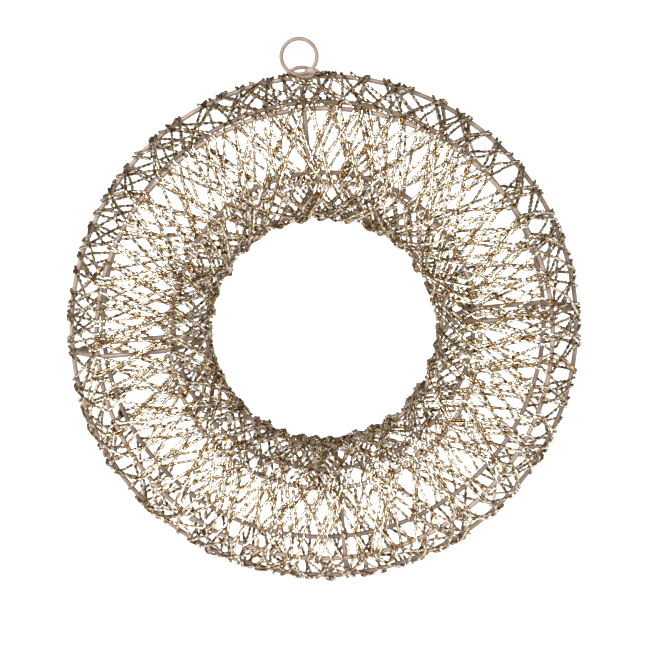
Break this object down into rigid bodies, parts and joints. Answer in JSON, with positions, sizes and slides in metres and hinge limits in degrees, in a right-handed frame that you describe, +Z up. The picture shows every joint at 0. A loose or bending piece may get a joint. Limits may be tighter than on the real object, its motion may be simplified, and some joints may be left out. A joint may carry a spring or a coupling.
{
  "type": "wreath frame",
  "caption": "Round hollow wire wreath frame with hexagonal hoops, wound with glitter wire, hung by a wire eye to hold flowers, greenery or lights.",
  "frame": {"origin": "middle of the hanging eye, the round wire eye on top of the outer ring", "axes": "+Z up through the top rib, the wreath's own axis along Y, front face towards -Y"},
  "size_m": [0.3032, 0.0713, 0.3236],
  "materials": {
    "painted_wire": "satin rose-brown paint on round steel wire",
    "glitter_wire": "twisted two-ply foil wire, champagne gold and silver"
  },
  "bodies": {
    "root": {"outer_ring": "painted_wire", "front_outer_ring": "painted_wire", "back_outer_ring": "painted_wire", "front_inner_ring": "painted_wire", "back_inner_ring": "painted_wire", "inner_ring": "painted_wire", "top_rib": "painted_wire", "right_rib": "painted_wire", "bottom_rib": "painted_wire", "left_rib": "painted_wire", "hanging_eye": "painted_wire", "back_hanging_eye": "painted_wire", "glitter_wire_01": "glitter_wire", "glitter_wire_02": "glitter_wire", "glitter_wire_03": "glitter_wire", "glitter_wire_04": "glitter_wire", "glitter_wire_05": "glitter_wire", "glitter_wire_06": "glitter_wire", "glitter_wire_07": "glitter_wire", "glitter_wire_08": "glitter_wire", "glitter_wire_09": "glitter_wire", "glitter_wire_10": "glitter_wire", "glitter_wire_11": "glitter_wire", "glitter_wire_12": "glitter_wire", "glitter_wire_13": "glitter_wire", "glitter_wire_14": "glitter_wire", "glitter_wire_15": "glitter_wire", "glitter_wire_16": "glitter_wire"}
  },
  "joints": []
}
